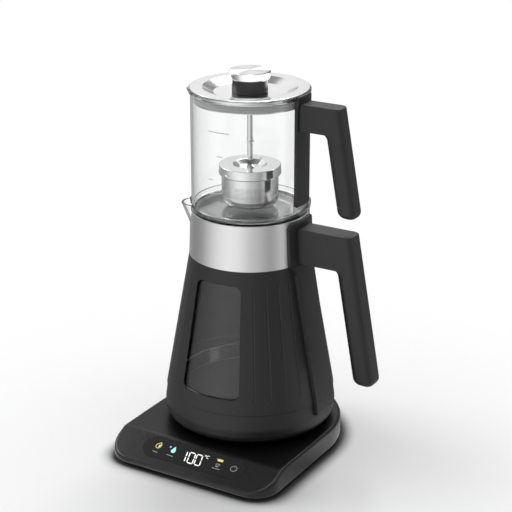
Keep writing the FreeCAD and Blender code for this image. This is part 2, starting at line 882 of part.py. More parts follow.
def handle(name, top, low, end, reach, thick, wide, envelope):
    """A flat-topped arm that turns down into a leaning grip with a rounded section."""
    body = new_body(name + "_form")
    middle = reach - thick / 2
    arm = new_sketch(body, name + "_arm", "XZ_Plane")
    outline(arm, [
        (D.handle_start, low),
        (middle + D.handle_slope * (top - low), low),
        (middle, top),
        (D.handle_start, top),
    ])
    padded(body, arm, wide, middle=True)
    upper = new_sketch(body, name + "_grip_top", "XY_Plane", top)
    grip_section(upper, middle, thick, wide)
    lower = new_sketch(body, name + "_grip_end", "XY_Plane", end)
    grip_section(lower, middle + D.handle_slope * (top - end), thick, wide)
    grip = body.newObject("PartDesign::AdditiveLoft", name + "_grip")
    grip.Profile = upper
    grip.Sections = [lower]
    grip.Ruled = True
    doc.recompute()
    rounded(body, name + "_end_round", [
        "Edge%d" % index for index, edge in enumerate(body.Shape.Edges, start=1)
        if edge.BoundBox.ZMax < end.number + 0.01], D.grip_end_round)
    rounded(body, name + "_edge_round", [
        "Edge%d" % index for index, edge in enumerate(body.Shape.Edges, start=1)
        if edge.BoundBox.ZMin > top.number - 0.01 and edge.BoundBox.XLength > 0.01],
        D.handle_edge)
    return node(cut(name, body, envelope), name)


arm_top = band_top - D.arm_down
handle("kettle_handle", arm_top, arm_top - D.arm_high, arm_top - D.grip_long,
       D.handle_top_reach, D.handle_thick, D.handle_wide, strap_envelope)

# ---------------------------------------------------------------- steam plate
ring_top = pot_bottom
ring_inner = D.plate_radius - D.plate_ring
plate_floor = ring_top - D.plate_sink
seal_top = ledge_height + D.plate_seal_high
plate_disc = revolved("plate_disc", [
    (0, plate_floor - 1.2),
    (ring_inner - 4, plate_floor - 1.2),
    (ring_inner - 3, plate_floor),
    (ring_inner, plate_floor),
    (ring_inner, ring_top - D.sheet_thick),
    (D.plate_radius - D.sheet_thick, ring_top - D.sheet_thick),
    (D.plate_radius - D.sheet_thick, seal_top),
    (D.plate_radius, seal_top),
    (D.plate_radius, ring_top),
    (ring_inner - D.sheet_thick, ring_top),
    (ring_inner - D.sheet_thick, plate_floor + D.sheet_thick),
    (ring_inner - 3 - D.sheet_thick, plate_floor + D.sheet_thick),
    (ring_inner - 4 - D.sheet_thick, plate_floor - 1.2 + D.sheet_thick),
    (0, plate_floor - 1.2 + D.sheet_thick),
], {8: size(0.6), 9: size(0.9)})
steam_holes = []
for turn in range(6):
    angle = math.radians(60 * turn)
    steam_holes.append(cylinder("steam_hole_%d" % turn, D.steam_hole, plate_floor - 3,
                                plate_floor + 3, D.steam_circle * math.cos(angle),
                                D.steam_circle * math.sin(angle)))
node(cut("steam_plate", plate_disc, joined("steam_holes", *steam_holes)), "steam_plate")

node(revolved("steam_plate_seal", [
    (D.neck_radius - D.glass_wall - D.ledge_wide - 0.8, ledge_height),
    (D.neck_radius - D.glass_wall - D.pot_gap, ledge_height),
    (D.neck_radius - D.glass_wall - D.pot_gap, ledge_height + 1.5),
    (D.neck_radius - D.glass_wall - D.pot_gap - 0.4, seal_top),
    (D.plate_radius - D.sheet_thick - 0.8, seal_top),
]), "steam_plate_seal")

# --------------------------------------------------------------- teapot glass
pot_inner = D.pot_radius - D.pot_wall
lip_low = pot_top - D.lip_deep


def lip_funnel(name, skin, low):
    """The small pouring lip at the teapot's rim."""
    return lofted_funnel(name, low, pot_top, D.pot_radius - 4, D.lip_reach - D.lip_mouth,
                         size(3) + skin, D.lip_mouth + skin, D.spout_angle)


pot_outer = revolved("pot_outer", [
    (0, pot_bottom),
    (D.pot_radius, pot_bottom),
    (D.pot_radius, pot_top - 4),
    (D.pot_rim_radius, pot_top - 2.2),
    (D.pot_rim_radius, pot_top),
    (0, pot_top),
], {1: D.pot_round, 4: size(0.6)})
pot_cavity = revolved("pot_cavity", [
    (0, pot_bottom + D.pot_floor),
    (pot_inner, pot_bottom + D.pot_floor),
    (pot_inner, pot_top + 1),
    (0, pot_top + 1),
], {1: D.pot_round - D.pot_wall})
pot_solid = joined("pot_solid", pot_outer, lip_funnel("lip_outer", size(0), lip_low))
pot_hollow = joined("pot_hollow", pot_cavity,
                    lip_funnel("lip_inner", -D.rim_wall, lip_low + D.rim_wall))
node(cut("teapot_glass", pot_solid, pot_hollow), "teapot_glass")

pot_strap_low = pot_bottom + D.pot_strap_rise
pot_skin = D.pot_radius + D.skin_gap
clip_skin = D.pot_rim_radius + D.skin_gap
pot_face = D.pot_radius + D.pot_strap_proud
clip_face = D.pot_rim_radius + D.pot_clip_proud
pot_strap_ring = revolved("pot_strap_ring", [
    (pot_skin, pot_strap_low),
    (pot_face, pot_strap_low),
    (pot_face, pot_top - 13),
    (clip_face, pot_top - 9),
    (clip_face, pot_top + 0.4),
    (clip_skin, pot_top + 0.4),
    (clip_skin, pot_top - 5.6),
    (pot_skin, pot_top - 7.4),
], {1: size(1.5), 4: size(1.5)})
pot_strap_width = extruded("pot_strap_width", "YZ_Plane", [
    (-D.pot_strap_half, pot_strap_low - 1),
    (D.pot_strap_half, pot_strap_low - 1),
    (D.pot_strap_half, pot_top + 5),
    (-D.pot_strap_half, pot_top + 5),
], D.pot_radius + 20, {0: size(5), 1: size(5)})
node(shared("teapot_strap", pot_strap_ring, pot_strap_width), "teapot_strap")

pot_envelope = revolved("pot_envelope", [
    (0, pot_strap_low),
    (pot_face, pot_strap_low),
    (pot_face, pot_top - 13),
    (clip_face, pot_top - 9),
    (clip_face, pot_top + 0.4),
    (0, pot_top + 0.4),
])
pot_arm_top = pot_top - D.pot_arm_down
handle("teapot_handle", pot_arm_top, pot_arm_top - D.pot_arm_high, pot_arm_top - D.pot_grip_long,
       D.pot_handle_top_reach, D.pot_handle_thick, D.pot_handle_wide, pot_envelope)

# ------------------------------------------------------------------------ lid
dish_floor = lid_top - D.dish_depth
lid_under = pot_top
rod_hole = D.rod_radius + 0.1
node(revolved("lid_dish", [
    (rod_hole, dish_floor - D.lid_sheet),
    (D.dish_floor_radius + 0.4, dish_floor - D.lid_sheet),
    (D.dish_radius + 0.4, lid_under),
    (D.lid_radius, lid_under),
    (D.lid_radius, lid_top),
    (D.dish_radius, lid_top),
    (D.dish_floor_radius, dish_floor),
    (rod_hole, dish_floor),
], {4: size(0.5), 5: size(1.5), 6: size(2.5)}), "lid_dish")

plug_low = lid_under - D.plug_deep
plug_floor = plug_low + D.plug_wall
seal_reach = pot_inner - D.seal_gap
node(revolved("lid_plug", [
    (rod_hole, plug_low),
    (seal_reach - 1.5, plug_low),
    (seal_reach - 1.5, plug_floor),
    (D.plug_radius, plug_floor),
    (D.plug_radius, lid_under),
    (D.plug_radius - D.plug_wall, lid_under),
    (D.plug_radius - D.plug_wall, plug_floor),
    (D.rod_radius + 4, plug_floor),
    (D.rod_radius + 4, dish_floor - D.lid_sheet),
    (rod_hole, dish_floor - D.lid_sheet),
]), "lid_plug")

seal_low = plug_floor
node(revolved("lid_seal", [
    (D.plug_radius + 0.1, seal_low),
    (seal_reach - 0.6, seal_low),
    (seal_reach, seal_low + 1.2),
    (seal_reach - 0.8, seal_low + D.seal_high / 2),
    (seal_reach, seal_low + D.seal_high - 1),
    (seal_reach - 1, seal_low + D.seal_high),
    (D.plug_radius + 0.1, seal_low + D.seal_high),
]), "lid_seal")

neck_top = dish_floor + D.knob_neck_high
screw_top = neck_top - 4
node(revolved("knob_neck", [
    (rod_hole, dish_floor),
    (D.knob_neck_radius, dish_floor),
    (D.knob_neck_radius, neck_top),
    (0, neck_top),
    (0, screw_top + 0.5),
    (rod_hole, screw_top + 0.5),
], {1: size(0.8)}), "knob_neck")

knob_top = neck_top + D.knob_high
node(revolved("knob_cap", [
    (0, neck_top),
    (D.knob_neck_radius + 0.3, neck_top),
    (D.knob_radius - 1.1, neck_top + 1.2),
    (D.knob_radius, knob_top - 0.8),
    (D.knob_radius - 0.6, knob_top),
    (0, knob_top),
], {2: size(0.8)}), "knob_cap")

joint_low = lid_top - D.joint_down
joint_top = joint_low + D.joint_high
node(revolved("upper_rod", [
    (0, joint_low + 1.5),
    (D.rod_radius - 0.6, joint_low + 1.5),
    (D.rod_radius - 0.6, joint_top),
    (D.rod_radius, joint_top),
    (D.rod_radius, screw_top),
    (0, screw_top),
]), "upper_rod")

cap_dish = cap_top - D.cap_dish_depth
cap_under = cap_dish - D.cap_sheet
node(revolved("lower_rod", [
    (0, cap_under - 2.5),
    (D.rod_radius + 1, cap_under - 2.5),
    (D.rod_radius + 1, cap_under),
    (D.rod_radius - 0.6, cap_under),
    (D.rod_radius - 0.6, cap_dish),
    (D.rod_radius + 2, cap_dish),
    (D.rod_radius + 2, cap_dish + 2),
    (D.rod_radius, cap_dish + 3),
    (D.rod_radius, joint_low),
    (D.rod_radius - 0.6, joint_low),
    (D.rod_radius - 0.6, joint_low + 1.5),
    (0, joint_low + 1.5),
]), "lower_rod")

node(revolved("rod_joint", [
    (D.rod_radius - 0.5, joint_low),
    (D.joint_radius - 0.6, joint_low),
    (D.joint_radius, joint_low + 0.6),
    (D.joint_radius, joint_low + 1.6),
    (D.joint_radius - 0.6, joint_low + 2.2),
    (D.joint_radius - 0.6, joint_top),
    (D.rod_radius - 0.5, joint_top),
]), "rod_joint")

# -------------------------------------------------------------------- infuser
cap_inner = D.cap_radius - D.cap_sheet
basket_rim = cap_inner - D.basket_gap
lip_inner = D.basket_radius + D.basket_gap
cap_lip = cap_low + D.cap_sheet
cap_shape = revolved("cap_shape", [
    (D.rod_radius - 0.5, cap_under),
    (D.cap_floor_radius + 0.4, cap_under),
    (D.cap_dish_radius + 0.4, cap_top - D.cap_sheet),
    (cap_inner, cap_top - D.cap_sheet),
    (cap_inner, cap_lip),
    (lip_inner, cap_lip),
    (lip_inner, cap_low),
    (D.cap_radius - 0.2, cap_low),
    (D.cap_radius + 0.4, cap_low + 0.8),
    (D.cap_radius + 0.4, cap_low + 2.6),
    (D.cap_radius, cap_low + 3.4),
    (D.cap_radius, cap_top),
    (D.cap_dish_radius, cap_top),
    (D.cap_floor_radius, cap_dish),
    (D.rod_radius - 0.5, cap_dish),
], {11: size(0.7), 12: size(1), 13: size(2)})
vent = cylinder("cap_vent", size(1.3), cap_top - 6, cap_top + 1, size(0), size(20))
node(cut("infuser_cap", cap_shape, vent), "infuser_cap")


HOLE_ROWS = 3
HOLES_ROUND = 24


def basket():
    """Deep-drawn cup hung by its flange, with rows of round holes in its wall."""
    body = new_body("basket_body")
    section = new_sketch(body, "basket_section", "XZ_Plane")
    inner = D.basket_radius - D.basket_sheet
    outline(section, [
        (0, basket_bottom),
        (D.basket_radius, basket_bottom),
        (D.basket_radius, cap_lip),
        (basket_rim, cap_lip),
        (basket_rim, cap_lip + D.basket_sheet),
        (inner, cap_lip + D.basket_sheet),
        (inner, basket_bottom + D.basket_sheet),
        (0, basket_bottom + D.basket_sheet),
    ], {1: D.basket_round, 6: D.basket_round - D.basket_sheet})
    turn = body.newObject("PartDesign::Revolution", "basket_turn")
    turn.Profile = section
    turn.ReferenceAxis = (section, ["V_Axis"])
    turn.Angle = 360
    doc.recompute()
    holes = new_sketch(body, "basket_holes", "XZ_Plane")
    for row in range(HOLE_ROWS):
        circle(holes, size(0), basket_bottom + D.hole_rise + D.hole_step * row, D.hole_radius)
    pocket = body.newObject("PartDesign::Pocket", "basket_hole_cut")
    pocket.Profile = holes
    pocket.Length = 40
    bind(pocket, "Length", D.basket_radius + 5)
    doc.recompute()
    ring = body.newObject("PartDesign::PolarPattern", "basket_hole_ring")
    ring.Originals = [pocket]
    ring.Axis = (holes, ["V_Axis"])
    ring.Angle = 360
    ring.Occurrences = HOLES_ROUND
    body.Tip = ring
    doc.recompute()
    return body


node(basket(), "infuser_basket")

# ------------------------------------------------------------ checks and export
doc.recompute()
for item in doc.Objects:
    if "Invalid" in item.State or "Error" in item.State:
        raise RuntimeError("%s did not build: %s" % (item.Name, item.State))
for item in NODES:
    if item.Shape.isNull() or not item.Shape.isValid():
        raise RuntimeError("%s has no sound shape" % item.Label)

os.makedirs("parts", exist_ok=True)
for item in NODES:
    item.Shape.exportStep("parts/%s.step" % item.Label)
    box = item.Shape.BoundBox
    print("%-18s %9.1f mm3  solids %d  z %.1f to %.1f" % (
        item.Label, item.Shape.Volume, len(item.Shape.Solids), box.ZMin, box.ZMax))
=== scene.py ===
"""Looks of the automatic tea maker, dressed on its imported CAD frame.

Metres, +Z up, the origin on the table below the vessels' axis, +X towards the
handles, -Y towards the control strip.
"""
import math

import bpy
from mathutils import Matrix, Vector


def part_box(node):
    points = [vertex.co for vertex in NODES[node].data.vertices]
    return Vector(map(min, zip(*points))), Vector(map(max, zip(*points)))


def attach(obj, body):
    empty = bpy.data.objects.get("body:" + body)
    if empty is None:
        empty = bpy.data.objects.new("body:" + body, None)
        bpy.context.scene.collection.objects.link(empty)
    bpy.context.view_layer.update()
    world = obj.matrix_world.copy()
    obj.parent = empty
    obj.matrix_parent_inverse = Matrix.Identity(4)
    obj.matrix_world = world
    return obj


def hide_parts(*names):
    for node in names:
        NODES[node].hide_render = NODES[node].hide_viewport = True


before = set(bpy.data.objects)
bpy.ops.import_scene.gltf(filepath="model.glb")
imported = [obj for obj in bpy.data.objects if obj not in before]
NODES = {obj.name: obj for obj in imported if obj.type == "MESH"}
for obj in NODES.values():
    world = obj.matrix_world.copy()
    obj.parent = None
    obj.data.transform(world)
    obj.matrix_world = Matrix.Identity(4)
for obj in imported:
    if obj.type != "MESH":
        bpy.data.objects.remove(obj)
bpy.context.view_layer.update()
MM = 0.001

# ------------------------------------------------------------------- camera

CAMERA_PLACE = Vector((0.7062, -1.1768, 0.7055))
CAMERA_TURN = 30.732
CAMERA_DOWN = 20.697
CAMERA_LENS = 107.25
SENSOR_WIDTH = 36.0


def add_camera():
    """The photograph's viewpoint: turned right of the front and looking down."""
    data = bpy.data.cameras.new("view")
    data.lens = CAMERA_LENS
    data.sensor_width = SENSOR_WIDTH
    camera = bpy.data.objects.new("view", data)
    bpy.context.scene.collection.objects.link(camera)
    camera.location = CAMERA_PLACE
    camera.rotation_euler = (math.radians(90 - CAMERA_DOWN), 0, math.radians(CAMERA_TURN))
    bpy.context.scene.camera = camera


# ---------------------------------------------------------------- materials

class Nodes:
    """Short ways to add and join shader nodes in one tree."""

    def __init__(self, tree):
        self.tree = tree

    def add(self, kind, **settings):
        made = self.tree.nodes.new(kind)
        for key, value in settings.items():
            setattr(made, key, value)
        return made

    def link(self, source, target):
        self.tree.links.new(source, target)

    def place(self):
        """The point being shaded, in the object's own metres."""
        return self.add("ShaderNodeTexCoord").outputs["Object"]

    def maths(self, operation, first, second=None, third=None):
        node = self.add("ShaderNodeMath", operation=operation)
        for index, value in enumerate((first, second, third)):
            if value is None:
                continue
            if isinstance(value, (int, float)):
                node.inputs[index].default_value = value
            else:
                self.link(value, node.inputs[index])
        return node.outputs["Value"]

    def length(self, vector, factors):
        """How long a vector is once its parts are scaled."""
        node = self.add("ShaderNodeVectorMath", operation="LENGTH")
        self.link(self.scaled(vector, factors), node.inputs[0])
        return node.outputs["Value"]

    def scaled(self, vector, factors):
        mapping = self.add("ShaderNodeMapping")
        mapping.inputs["Scale"].default_value = factors
        self.link(vector, mapping.inputs["Vector"])
        return mapping.outputs["Vector"]

    def ramp(self, factor, low, high, start=0.0, end=1.0, smooth=False):
        """Spread a factor over a range of plain numbers."""
        spread = self.add("ShaderNodeMapRange")
        if smooth:
            spread.interpolation_type = "SMOOTHSTEP"
        spread.inputs["From Min"].default_value = start
        spread.inputs["From Max"].default_value = end
        spread.inputs["To Min"].default_value = low
        spread.inputs["To Max"].default_value = high
        self.link(factor, spread.inputs["Value"])
        return spread.outputs["Result"]

    def curve(self, value, low, high, stops):
        """A piecewise linear function of a value, read from a grey ramp."""
        ramp = self.add("ShaderNodeValToRGB")
        marks = ramp.color_ramp.elements
        for index, (at, level) in enumerate(stops):
            place = (at - low) / (high - low)
            mark = marks[index] if index < 2 else marks.new(place)
            mark.position = place
            mark.color = (level, level, level, 1.0)
        self.link(self.ramp(value, 0.0, 1.0, low, high), ramp.inputs["Fac"])
        grey = self.add("ShaderNodeRGBToBW")
        self.link(ramp.outputs["Color"], grey.inputs["Color"])
        return grey.outputs["Val"]

    def noise(self, vector, scale, detail=2.0, roughness=0.5):
        texture = self.add("ShaderNodeTexNoise")
        texture.inputs["Scale"].default_value = scale
        texture.inputs["Detail"].default_value = detail
        texture.inputs["Roughness"].default_value = roughness
        self.link(vector, texture.inputs["Vector"])
        return texture.outputs["Fac"]

    def emission(self, strength):
        glow = self.add("ShaderNodeEmission")
        if isinstance(strength, (int, float)):
            glow.inputs["Strength"].default_value = strength
        else:
            self.link(strength, glow.inputs["Strength"])
        return glow.outputs["Emission"]

    def mixed(self, factor, first, second):
        """A shader that is the first at a factor of 0 and the second at 1."""
        mix = self.add("ShaderNodeMixShader")
        self.link(factor, mix.inputs["Fac"])
        self.link(first, mix.inputs[1])
        self.link(second, mix.inputs[2])
        return mix.outputs["Shader"]


class Finish(Nodes):
    """A material being built from nodes around one Principled shader."""

    def __init__(self, name, colour, roughness, metallic=0.0):
        self.material = bpy.data.materials.new(name)
        self.material.use_nodes = True
        super().__init__(self.material.node_tree)
        self.shader = self.tree.nodes["Principled BSDF"]
        self.output = self.tree.nodes["Material Output"]
        self.set("Base Color", (*colour, 1.0))
        self.set("Roughness", roughness)
        self.set("Metallic", metallic)

    def set(self, socket, value):
        self.shader.inputs[socket].default_value = value

    def tint(self, factor, dark, light):
        """Mix two colours by a factor and use the result as the base colour."""
        mix = self.add("ShaderNodeMix", data_type="RGBA")
        self.link(factor, mix.inputs["Factor"])
        mix.inputs["A"].default_value = (*dark, 1.0)
        mix.inputs["B"].default_value = (*light, 1.0)
        self.link(mix.outputs["Result"], self.shader.inputs["Base Color"])

    def bump(self, height, strength, distance):
        node = self.add("ShaderNodeBump")
        node.inputs["Strength"].default_value = strength
        node.inputs["Distance"].default_value = distance
        self.link(height, node.inputs["Height"])
        self.link(node.outputs["Normal"], self.shader.inputs["Normal"])

    def rough(self, factor, low, high):
        self.link(self.ramp(factor, low, high), self.shader.inputs["Roughness"])


# Noise scales are in waves per metre, and bump distances in metres
MOULD_CLOUD = 28.0
MOULD_GRAIN = 2600.0
GRAIN_BUMP = 0.0001
GLOSS_CLOUD = 60.0
STREAKS = 2600.0
STREAK_RUN = 6.0
STREAK_BUMP = 0.00005
STREAK_DEPTH = 0.2
POLISH_CLOUD = 90.0
POLISH_WAVES = 45.0
POLISH_BUMP = 0.0004
GLASS_TONE = (0.99, 0.995, 0.993)
GLASS_SHADE = (0.96, 0.97, 0.965, 1.0)
GLASS_IOR = 1.46
GLASS_WAVES = 22.0
GLASS_BUMP = 0.0006
SILICONE_ROUGHNESS = 0.45
SILICONE_CLOUD = 70.0
SILICONE_GRAIN = 1800.0
SILICONE_SCATTER = 0.004
PRINT_GRAIN = 900.0


def moulded_black(name, tone, roughness, grain=0.12):
    """Spark-textured moulded plastic: fine grain, and a slightly uneven gloss."""
    finish = Finish(name, (tone, tone, tone * 1.02), roughness)
    place = finish.place()
    cloud = finish.noise(place, MOULD_CLOUD, 3.0)
    finish.tint(cloud, (tone * 0.88,) * 3, (tone * 1.12,) * 3)
    finish.rough(cloud, roughness - 0.04, roughness + 0.04)
    finish.bump(finish.noise(place, MOULD_GRAIN, 2.0, 0.6), grain, GRAIN_BUMP)
    return finish.material


def gloss_black(name, tone, roughness):
    """A dark window under a clear hard coat."""
    finish = Finish(name, (tone, tone, tone * 1.03), roughness)
    finish.set("Coat Weight", 0.5)
    finish.set("Coat Roughness", 0.04)
    cloud = finish.noise(finish.place(), GLOSS_CLOUD, 2.0)
    finish.rough(cloud, roughness * 0.9, roughness * 1.15)
    return finish.material


def brushed_steel(name, tone, roughness, along, anisotropy=0.3):
    """Steel brushed round the vertical axis, so its streaks change along one way.

    along is "height" for an upright wall and "radius" for a flat turned face.
    """
    finish = Finish(name, (tone, tone, tone * 0.99), roughness, 1.0)
    place = finish.place()
    if along == "height":
        streak_place = finish.scaled(place, (STREAK_RUN, STREAK_RUN, STREAKS))
    else:
        joined = finish.add("ShaderNodeCombineXYZ")
        finish.link(finish.length(place, (STREAKS, STREAKS, 0.0)), joined.inputs["X"])
        streak_place = joined.outputs["Vector"]
    streak = finish.noise(streak_place, 1.0, 4.0, 0.65)
    finish.tint(streak, (tone * 0.93,) * 3, (tone * 1.05,) * 3)
    finish.rough(streak, roughness * 0.8, roughness * 1.25)
    finish.bump(streak, STREAK_DEPTH, STREAK_BUMP)
    finish.set("Anisotropic", anisotropy)
    tangent = finish.add("ShaderNodeTangent", direction_type="RADIAL", axis="Z")
    finish.link(tangent.outputs["Tangent"], finish.shader.inputs["Tangent"])
    return finish.material


def polished_steel(name, tone, roughness):
    """Steel with a mirror finish that waves a little."""
    finish = Finish(name, (tone, tone, tone * 0.99), roughness, 1.0)
    cloud = finish.noise(finish.place(), POLISH_CLOUD, 3.0)
    finish.rough(cloud, roughness * 0.7, roughness * 1.4)
    finish.bump(finish.noise(finish.place(), POLISH_WAVES, 1.0), 0.05, POLISH_BUMP)
    return finish.material


def clear_glass(name):
    """Clear glass that lets lamp light through to what stands inside it."""
    finish = Finish(name, GLASS_TONE, 0.0)
    finish.set("Transmission Weight", 1.0)
    finish.set("IOR", GLASS_IOR)
    waves = finish.noise(finish.place(), GLASS_WAVES, 1.0)
    finish.bump(waves, 0.03, GLASS_BUMP)
    passing = finish.add("ShaderNodeBsdfTransparent")
    passing.inputs["Color"].default_value = GLASS_SHADE
    path = finish.add("ShaderNodeLightPath")
    finish.link(finish.mixed(path.outputs["Is Shadow Ray"], finish.shader.outputs["BSDF"],
                             passing.outputs["BSDF"]), finish.output.inputs["Surface"])
    return finish.material


def silicone(name, tone):
    """Soft rubber that light enters a little, with a dull even skin."""
    finish = Finish(name, tone, SILICONE_ROUGHNESS)
    finish.set("Subsurface Weight", 0.25)
    finish.set("Subsurface Radius", (SILICONE_SCATTER,) * 3)
    finish.set("Subsurface Scale", 0.5)
    place = finish.place()
    cloud = finish.noise(place, SILICONE_CLOUD, 2.0)
    finish.rough(cloud, SILICONE_ROUGHNESS - 0.06, SILICONE_ROUGHNESS + 0.06)
    finish.bump(finish.noise(place, SILICONE_GRAIN, 2.0), 0.08, GRAIN_BUMP)
    return finish.material


def lit_print(name, colour, glow=0.0):
    """Print that may be lit from behind."""
    finish = Finish(name, colour, 0.4)
    cloud = finish.noise(finish.place(), PRINT_GRAIN, 2.0)
    finish.tint(cloud, tuple(part * 0.9 for part in colour), colour)
    finish.set("Emission Color", (*colour, 1.0))
    finish.set("Emission Strength", glow)
    return finish.material


def dress_frame():
    """Give every CAD node its finish; return the basket's and the handles' finishes."""
    body_black = moulded_black("body_black", 0.017, 0.42)
    handle_black = moulded_black("handle_black", 0.021, 0.46)
    base_black = moulded_black("base_black", 0.004, 0.28, grain=0.05)
    hidden_black = moulded_black("hidden_black", 0.03, 0.55)
    rubber = moulded_black("foot_rubber", 0.02, 0.8, grain=0.3)
    lens = gloss_black("lens_black", 0.014, 0.16)
    band = brushed_steel("band_steel", 0.78, 0.24, "height", anisotropy=0.6)
    lid = brushed_steel("lid_steel", 0.84, 0.16, "radius", anisotropy=0.4)
    knob = brushed_steel("knob_steel", 0.82, 0.24, "radius", anisotropy=0.9)
    cap = brushed_steel("cap_steel", 0.84, 0.15, "radius")
    drawn = brushed_steel("drawn_steel", 0.80, 0.16, "height")
    plate = brushed_steel("plate_steel", 0.22, 0.20, "radius")
    polished = polished_steel("polished_steel", 0.80, 0.08)
    glass = clear_glass("vessel_glass")
    seal = silicone("seal_grey", (0.42, 0.43, 0.43))
    black_seal = silicone("seal_black", (0.02, 0.02, 0.021))
    finishes = {
        "base_housing": base_black, "base_cover": hidden_black, "rubber_feet": rubber,
        "base_screws": polished, "control_lens": lens, "display_module": hidden_black,
        "cord_gland": hidden_black, "power_connector": hidden_black,
        "kettle_coupler": hidden_black, "kettle_cup": body_black,
        "heating_plate": polished, "pan_seal": black_seal, "heating_element": polished,
        "kettle_shell": body_black, "kettle_glass": glass, "steel_band": band,
        "kettle_strap": handle_black, "kettle_handle": handle_black,
        "steam_plate": plate, "steam_plate_seal": black_seal, "teapot_glass": glass,
        "teapot_strap": handle_black, "teapot_handle": handle_black, "lid_dish": lid,
        "lid_plug": lid, "lid_seal": seal, "knob_neck": body_black, "knob_cap": knob,
        "upper_rod": polished, "lower_rod": polished, "rod_joint": polished,
        "infuser_cap": cap, "infuser_basket": drawn,
    }
    for name, material in finishes.items():
        slots = NODES[name].data.materials
        if not slots:
            slots.append(material)
        for index in range(len(slots)):
            slots[index] = material
    return drawn, handle_black


# ------------------------------------------------------------ studio and floor

FLOOR_HALF = 6.0
FLOOR_TONE = 0.86
FLOOR_ROUGHNESS = 0.9
# Painted contact shadow: the floor's colour darkens to this tone where it touches the
# object, over this many metres, as the openness seen from it falls through this range
CONTACT_SHADE_TONE = 0.06
CONTACT_SHADE_REACH = 0.018
CONTACT_SHADE_RANGE = (0.62, 0.97)
CONTACT_SHADE_SAMPLES = 16
# Between these distances from the axis the floor fades into the white background
FLOOR_FADE = (0.13, 0.42)
WORLD_LIGHT = 0.26

# How bright the studio looks in a shiny wall, by turn round the axis in degrees
STUDIO_TURNS = [
    (-180.0, 0.28), (-156.0, 0.37), (-143.0, 0.60), (-119.0, 0.95), (-98.0, 1.10),
    (-78.0, 1.00), (-59.0, 0.68), (-44.0, 0.60), (-32.0, 0.46), (-20.0, 0.33),
    (-8.0, 0.54), (8.0, 0.83), (22.0, 0.80), (45.0, 0.40), (75.0, 0.25),
    (108.0, 0.25), (121.0, 0.40), (150.0, 0.42), (168.0, 0.32), (180.0, 0.28),
]
# How much of that is left, by height over the horizon as the sine of the angle
STUDIO_HEIGHTS = [
    (-1.0, 1.0), (0.0, 1.0), (0.12, 0.85), (0.35, 0.85), (0.6, 1.1), (0.78, 0.6),
    (1.0, 0.5),
]

# Each lamp: name, turn round the axis in degrees, height, distance, size, watts, and the
# height on the axis that it looks at
MIDDLE_HEIGHT = 0.15
PANEL_HEIGHT = 0.685
LAMPS = [
    ("key_back", 100.0, 2.3, 1.5, (1.2, 1.2), 36.0, MIDDLE_HEIGHT),
    ("side_left", -172.0, 1.6, 2.0, (1.4, 1.4), 22.0, MIDDLE_HEIGHT),
    ("top", -30.0, 2.6, 0.4, (1.8, 1.8), 16.0, MIDDLE_HEIGHT),
    ("lid_panel", 145.0, PANEL_HEIGHT, 0.6, (0.74, 0.47), 0.66, PANEL_HEIGHT),
]


def studio(nodes, direction):
    """The studio's brightness by a direction's turn round the axis, and its height.

    The direction may also be a place seen from the axis.
    """
    parts = nodes.add("ShaderNodeSeparateXYZ")
    nodes.link(direction, parts.inputs["Vector"])
    turn = nodes.maths("ARCTAN2", parts.outputs["Y"], parts.outputs["X"])
    turn = nodes.maths("MULTIPLY", turn, 180.0 / math.pi)
    return nodes.curve(turn, -180.0, 180.0, STUDIO_TURNS), parts.outputs["Z"]


def ray_kinds(nodes):
    """Whether a ray shows a thing to the camera, also through glass, or mirrors it."""
    path = nodes.add("ShaderNodeLightPath")
    sharp = nodes.maths("LESS_THAN", path.outputs["Glossy Depth"], 0.5)
    through = nodes.maths("MULTIPLY", path.outputs["Is Transmission Ray"], sharp)
    shown = nodes.maths("MAXIMUM", path.outputs["Is Camera Ray"], through)
    shiny = nodes.maths("MAXIMUM", path.outputs["Is Glossy Ray"],
                        path.outputs["Is Transmission Ray"])
    return shown, nodes.maths("MULTIPLY", shiny, nodes.maths("SUBTRACT", 1.0, shown))


def add_floor():
    """A pale floor that keeps the object's shadow and has painted contact shade; shiny
    walls see the studio in it.
    """
    data = bpy.data.meshes.new("floor")
    side = FLOOR_HALF
    corners = [(-side, -side, 0), (side, -side, 0), (side, side, 0), (-side, side, 0)]
    data.from_pydata(corners, [], [(0, 1, 2, 3)])
    floor = bpy.data.objects.new("floor", data)
    bpy.context.scene.collection.objects.link(floor)
    finish = Finish("floor_white", (FLOOR_TONE,) * 3, FLOOR_ROUGHNESS)
    finish.set("Specular IOR Level", 0.1)
    # Painted contact shadow: ambient occlusion darkens the floor's colour next to the
    # object
    contact_shade = finish.add("ShaderNodeAmbientOcclusion", samples=CONTACT_SHADE_SAMPLES)
    contact_shade.inputs["Distance"].default_value = CONTACT_SHADE_REACH
    finish.tint(finish.ramp(contact_shade.outputs["AO"], 0.0, 1.0, *CONTACT_SHADE_RANGE),
                (CONTACT_SHADE_TONE,) * 3, (FLOOR_TONE,) * 3)
    shown, shiny = ray_kinds(finish)
    place = finish.place()
    level, _ = studio(finish, place)
    away = finish.ramp(finish.length(place, (1.0, 1.0, 0.0)), 0.0, 1.0, *FLOOR_FADE,
                       smooth=True)
    faded = finish.mixed(finish.maths("MULTIPLY", away, shown),
                         finish.shader.outputs["BSDF"], finish.emission(1.0))
    finish.link(finish.mixed(shiny, faded, finish.emission(level)),
                finish.output.inputs["Surface"])
    data.materials.append(finish.material)


